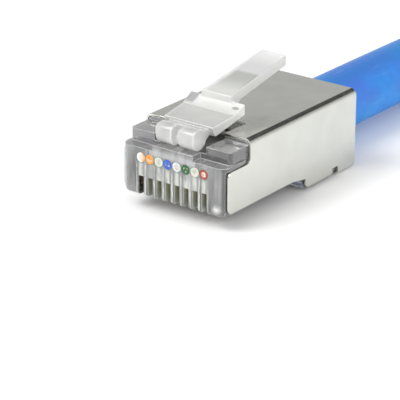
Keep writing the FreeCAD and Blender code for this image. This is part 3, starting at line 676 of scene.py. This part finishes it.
# Places in HOUSING_FINISHES.
CLEAR, FRONT, SLOT, LIT_FACES, SHADED_FACES, RECESS_SHADE, LIT_EDGE = range(7)
HOUSING_FINISHES = (
    dict(name="clear_polycarbonate", colour=(0.70, 0.70, 0.69), haze=0.16, density=50, gloss=(0.04, 0.11)),
    dict(name="nose_polycarbonate", colour=(0.68, 0.69, 0.68), haze=0.28, density=30, gloss=(0.03, 0.09),
         pattern=nose_painted_light, streaks=(1, 1, 0.3), milk=nose_milk),
    # slot_shade: a darker olive copy on the walls of the slots, as painted shade
    dict(name="slot_shade_polycarbonate", colour=(0.60, 0.63, 0.54), haze=0.6, density=50, gloss=(0.08, 0.2),
         pattern=slot_painted_shade),
    # lit: a lighter copy of the clear plastic, as painted light on faces that look up and on the step above
    # the nose
    dict(name="lit_polycarbonate", colour=(0.85, 0.85, 0.85), haze=0.26, density=50, gloss=(0.04, 0.12)),
    # shaded: a darker copy of the clear plastic, as painted shade on the shoulders and on faces that look
    # sideways
    dict(name="shaded_polycarbonate", colour=(0.36, 0.36, 0.36), haze=0.34, density=50, gloss=(0.04, 0.12),
         clouds=0.45),
    # recess_shade: a near-black copy, as painted shade on the recess under the latch
    dict(name="recess_shade_polycarbonate", colour=(0.05, 0.05, 0.045), haze=0.75, density=50, gloss=(0.2, 0.4),
         pattern=recess_shade_and_light, coat=0.2),
    # lit_edge: a paler, hazier copy on the rounded edges, as painted highlight
    dict(name="lit_edge_polycarbonate", colour=(0.92, 0.92, 0.92), haze=0.42, density=20, gloss=(0.05, 0.15)),
)

# A face looks along an axis, more or less, where its normal's part along the axis is more than this.
SQUARELY, LARGELY, MAINLY, PARTLY = 0.95, 0.9, 0.7, 0.5


def housing_finish(normal, middle):
    """Painted shade under the latch, clear under the shield, and on the nose by what each face belongs to,
    with lit and shaded copies by where a face looks.
    """
    in_recess = abs(middle.x) < RECESS_HALF and NOSE_TOP < middle.z < RECESS_TOP
    # painted shade on the faces of the recess under the latch
    if in_recess and middle.y > PIVOT_Y:
        return RECESS_SHADE
    if middle.y > SHIELDED:
        return CLEAR
    in_row = abs(middle.x) < ROW_HALF and middle.z < WIRE_ROW - WIRE_RADIUS
    if in_row and (abs(normal.x) > LARGELY or middle.y > NOSE_FACE + 0.1 * MM):
        return SLOT
    if normal.y < -MAINLY and middle.z < NOSE_TOP:
        return FRONT
    # painted light: faces that look up, all faces of the left shoulder and those of the step before the
    # latch take the lighter copy
    on_step = middle.z > NOSE_TOP and (middle.x < -RECESS_HALF or middle.y < PIVOT_Y - 0.2 * MM)
    if normal.z > MAINLY or on_step:
        return LIT_FACES
    # painted shade on the other faces above the nose, the right shoulder's among them, and on faces that
    # look sideways, as by the gap at the shield
    if middle.z > NOSE_TOP or abs(normal.x) > SQUARELY:
        return SHADED_FACES
    return CLEAR


def is_slot_mouth(edge):
    """Edges of the contact slots, up the front of the nose, round its lower edge and along its sole."""
    ends = [vertex.co for vertex in edge.verts]
    near_mouth = all(end.z < SLOT_TOP + TOUCH and abs(end.x) < ROW_HALF for end in ends)
    on_skin = all(end.y < NOSE_RIM or end.z < NOSE_SOLE + TOUCH for end in ends)
    of_wall = any(abs(face.normal.x) > SQUARELY or face.normal.z < -SQUARELY and
                  face.calc_center_median().z > SLOT_TOP - 0.1 * MM for face in edge.link_faces)
    return near_mouth and on_skin and of_wall


def stays_sharp(edge):
    """Edges round the wire ends, where the walls are too thin to round, and those inside the housing."""
    ends = [vertex.co for vertex in edge.verts]
    on_front = all(end.y < NOSE_RIM for end in ends)
    on_top = all(end.z > NOSE_TOP - TOUCH and end.y < SHIELDED + MM for end in ends)
    on_side = all(abs(end.x) > NOSE_SIDE for end in ends)
    round_wires = all(abs(end.z - WIRE_ROW) < 1.1 * WIRE_RADIUS and abs(end.x) < ROW_HALF for end in ends)
    return round_wires or not (on_front or on_top or on_side)


# ---------------------------------------------------------------- finishes of the latch and the shield

# painted light on the clear lever: tones of what lies under and behind it, painted on
LEVER_ROOT = (0.97, 0.97, 0.93)
LEVER_OVER_METAL = (0.79, 0.80, 0.76)
LEVER_PAST_METAL = (0.96, 0.96, 0.97)
LEFT_EAR = (0.36, 0.36, 0.37)
EAR_MARK_TONE = (0.22, 0.23, 0.21)
PLATE_CORNER = (0.9, 0.9, 0.88)


def lever_rim_highlight(tree, x):
    """A painted highlight down the lever's left side, as wide as its edge."""
    return fall(tree, ragged(tree, x, 0.4 * MM, 900), -1.25 * MM, -0.6 * MM)


def lever_painted_light(tree, surface):
    """Painted light: pale at the root, the grey of the metal below painted on where the lever lies over it,
    most so over its middle, and white where the lever stands out past it.
    """
    x, y, _ = place_of(tree)
    reach = ragged(tree, y, 1.2 * MM, 500)
    over_metal = tint(tree, rise(tree, y, -3.0 * MM, -0.4 * MM), LEVER_ROOT, LEVER_OVER_METAL)
    past_metal = tint(tree, rise(tree, reach, 1.1 * MM, 1.5 * MM), over_metal, LEVER_PAST_METAL)
    tipped = tint(tree, rise(tree, reach, 2.8 * MM, 4.6 * MM), past_metal, WHITE)
    return tint(tree, lever_rim_highlight(tree, x), tipped, WHITE)


def lever_milk(tree):
    """The lever is clearest over the middle of the metal, and cloudier at its root, tip and left side."""
    x, y, _ = place_of(tree)
    root = fall(tree, y, -3.0 * MM, -0.8 * MM, 0.4)
    past_metal = rise(tree, y, 0.5 * MM, 0.9 * MM, 0.3)
    tip = rise(tree, y, 2.4 * MM, 4.0 * MM, 0.3)
    along = maths(tree, "ADD", root, maths(tree, "ADD", past_metal, tip))
    return highest(tree, along, product(tree, lever_rim_highlight(tree, x), 0.8))


def ear_tone(tree, surface):
    """The left ear is greyer than the rest, and the right one has a dark mark."""
    x, y, _ = place_of(tree)
    at_ears = product(tree, rise(tree, y, EARS - 1.35 * MM, EARS - 1.0 * MM),
                      below(tree, y, EARS + 0.05 * MM))
    left = product(tree, fall(tree, ragged(tree, x, 0.3 * MM, 1500), -1.95 * MM, -1.75 * MM), at_ears, 0.8)
    greyed = tint(tree, left, surface, LEFT_EAR)
    from_mark = distance(tree, x, y, EAR_MARK, squeeze=2.2)
    return tint(tree, fall(tree, from_mark, 0.25 * MM, 0.5 * MM, 0.85), greyed, EAR_MARK_TONE)


def chin_painted_shade(tree, surface):
    """Painted shade between the barrels and the plate, left off at the plate's free corners, which stay
    pale.
    """
    x, _, _ = place_of(tree)
    aside = maths(tree, "ABSOLUTE", x)
    return tint(tree, rise(tree, aside, 2.2 * MM, 2.35 * MM), surface, PLATE_CORNER)


# Places in LATCH_FINISHES.
LEVER, PLATE, FROST, SHADE, ROOT, SHADED_UNDER = range(6)
LATCH_FINISHES = (
    dict(name="clear_latch", colour=(0.9, 0.9, 0.9), haze=0.5, gloss=(0.05, 0.12), pattern=lever_painted_light,
         clouds=0.06, ripple=0.04, milk=lever_milk),
    dict(name="hazy_latch", colour=(0.92, 0.92, 0.90), haze=0.56, gloss=(0.06, 0.15), clouds=0.06,
         ripple=0.04),
    dict(name="frosted_latch", colour=(0.95, 0.95, 0.93), haze=0.55, gloss=(0.31, 0.34), pattern=ear_tone,
         coat=0.3, clouds=0.05, ripple=0.02),
    # shaded: a dark copy, as painted shade on the plate's front
    dict(name="shaded_latch", colour=(0.14, 0.14, 0.13), haze=0.5, gloss=(0.1, 0.2), pattern=chin_painted_shade,
         coat=0.4, ripple=0.04),
    dict(name="root_latch", colour=(0.95, 0.95, 0.94), haze=0.38, gloss=(0.29, 0.35), coat=0.6, clouds=0.2,
         ripple=0.04),
    # the underside: a darker copy, as painted shade
    dict(name="shaded_underside_latch", colour=(0.46, 0.47, 0.43), haze=0.5, gloss=(0.1, 0.25), coat=0.4,
         ripple=0.04),
)
LATCH_DENSITY = 15


def latch_finish(normal, middle):
    """The front of the plate with painted shade, frosted sides and ramp, barrels, underside with painted
    shade, plate and lever.
    """
    if normal.y < -PARTLY and PLATE_FRONT < middle.y < PLATE_FRONT + 0.4 * MM:
        return SHADE
    on_ramp = EARS - 1.55 * MM < middle.y < EARS + 0.3 * MM
    if abs(normal.x) > MAINLY or on_ramp:
        return FROST
    if middle.y < BARRELS_BACK:
        return ROOT
    # painted shade on faces that look down
    if normal.z < -MAINLY:
        return SHADED_UNDER
    return PLATE if middle.y < EARS - 1.5 * MM else LEVER


SQUARENESS = 3.6


def square_barrels(form):
    """The barrels' upper front is a rounded square rather than round."""
    for vertex in form.verts:
        ahead, above = PIVOT_Y - vertex.co.y, vertex.co.z - PIVOT_Z
        if ahead > 0 and above > 0 and math.hypot(ahead, above) > 0.97 * BARREL_RADIUS:
            turn = math.atan2(above, ahead)
            reach = (math.cos(turn) ** SQUARENESS + math.sin(turn) ** SQUARENESS) ** (-1 / SQUARENESS)
            vertex.co.y = PIVOT_Y - ahead * reach
            vertex.co.z = PIVOT_Z + above * reach


PLATED, SHEARED = range(2)


def shield_finish(normal, middle):
    """The edge at the rear of the notch under the latch is sheared and pale as painted light, and all else
    is plated.
    """
    at_rear = middle.y > NOTCH_REAR[0] and middle.z > NOTCH_REAR[1]
    return SHEARED if normal.y < -MAINLY and at_rear else PLATED


# ---------------------------------------------------------------- pieces

SHARP = math.radians(32)        # an edge that turns by more than this is rounded
FLAT = math.radians(0.5)
WELD = 1e-6
WIDE_SEGMENTS = 4


def sharp_edges(form):
    return [edge for edge in form.edges if edge.is_manifold and edge.calc_face_angle() > SHARP]


def round_off(form, edges, width, segments, finish=-1):
    bmesh.ops.bevel(form, geom=edges, offset=width, offset_type="OFFSET", segments=segments, profile=0.5,
                    affect="EDGES", clamp_overlap=False, material=finish)


def refined(node, name, width, finishes, pick, segments=2, wide=None, leave=None, edge=-1, cut=None,
            shape=None):
    """The CAD node's form with its flat faces whole and its edges rounded, as a piece of its own.

    finishes are the piece's materials, pick chooses one of them for a face by its direction and middle, and
    edge is the place in finishes of the rounded edges' own. wide is a test for the edges that are rounded
    first and further, with their width, and leave is one for those that stay sharp. cut is a place along
    the plug where faces are parted, so that a finish can change there. shape moves the form's points first.
    """
    form = bmesh.new()
    form.from_mesh(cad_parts[node].data)
    bmesh.ops.remove_doubles(form, verts=form.verts, dist=WELD)
    bmesh.ops.dissolve_limit(form, angle_limit=FLAT, verts=form.verts, edges=form.edges)
    if shape:
        shape(form)
    if cut is not None:
        bmesh.ops.bisect_plane(form, geom=form.verts[:] + form.edges[:] + form.faces[:], dist=WELD,
                               plane_co=(0, cut, 0), plane_no=(0, 1, 0))
    for face in form.faces:
        face.material_index = pick(face.normal, face.calc_center_median())
    if wide:
        test, wide_width = wide
        round_off(form, [border for border in sharp_edges(form) if test(border)], wide_width, WIDE_SEGMENTS)
    rest = [border for border in sharp_edges(form) if not (leave and leave(border))]
    round_off(form, rest, width, segments, edge)
    for face in form.faces:
        face.smooth = True
    mesh = bpy.data.meshes.new(name)
    form.to_mesh(mesh)
    form.free()
    mesh.set_sharp_from_angle(angle=SHARP)
    for finish in finishes:
        mesh.materials.append(finish)
    piece = bpy.data.objects.new(name, mesh)
    bpy.context.collection.objects.link(piece)
    steady = piece.modifiers.new("even_shading", "WEIGHTED_NORMAL")
    steady.keep_sharp = True
    return piece


def dress(node, material):
    """The CAD node gets this finish on all of its faces."""
    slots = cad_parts[node].data.materials
    if not slots:
        slots.append(material)
    for index in range(len(slots)):
        slots[index] = material


# ---------------------------------------------------------------- the scene

add_camera()
add_floor()
add_studio()
add_lamps()
bpy.context.scene.view_settings.view_transform = "Standard"

moulding = refined("housing", "housing_moulding", 0.05 * MM,
                   [polycarbonate(**finish) for finish in HOUSING_FINISHES], housing_finish,
                   wide=(is_slot_mouth, 0.15 * MM), leave=stays_sharp, edge=LIT_EDGE, cut=PIVOT_Y)
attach(moulding, "plug")
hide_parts("housing")

lever = refined("latch", "latch_lever", 0.12 * MM,
                [polycarbonate(density=LATCH_DENSITY, **finish) for finish in LATCH_FINISHES], latch_finish,
                segments=3, edge=FROST, shape=square_barrels)
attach(lever, "latch")
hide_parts("latch")

sheet = refined("shield", "shield_sheet", 0.04 * MM, [nickel(), sheared_edge()], shield_finish)
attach(sheet, "plug")
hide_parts("shield")

gilt = gold()
for number, (name, colour, tracer, cover) in WIRES.items():
    dress(f"contact_{number}", gilt)
    dress(f"conductor_{number}", copper(f"copper_{number}", colour, cover))
    stripes = tracer_stripes(tracer, SMEARED_ENDS.get(number)) if tracer else None
    dress(f"insulation_{number}", plastic(name, colour, pattern=stripes))
dress("cable_screen", bright_metal("foil", (0.82, 0.82, 0.84), 0.3))
dress("drain_wire", bright_metal("tinned_copper", (0.72, 0.70, 0.66), 0.35))
make_jacket()
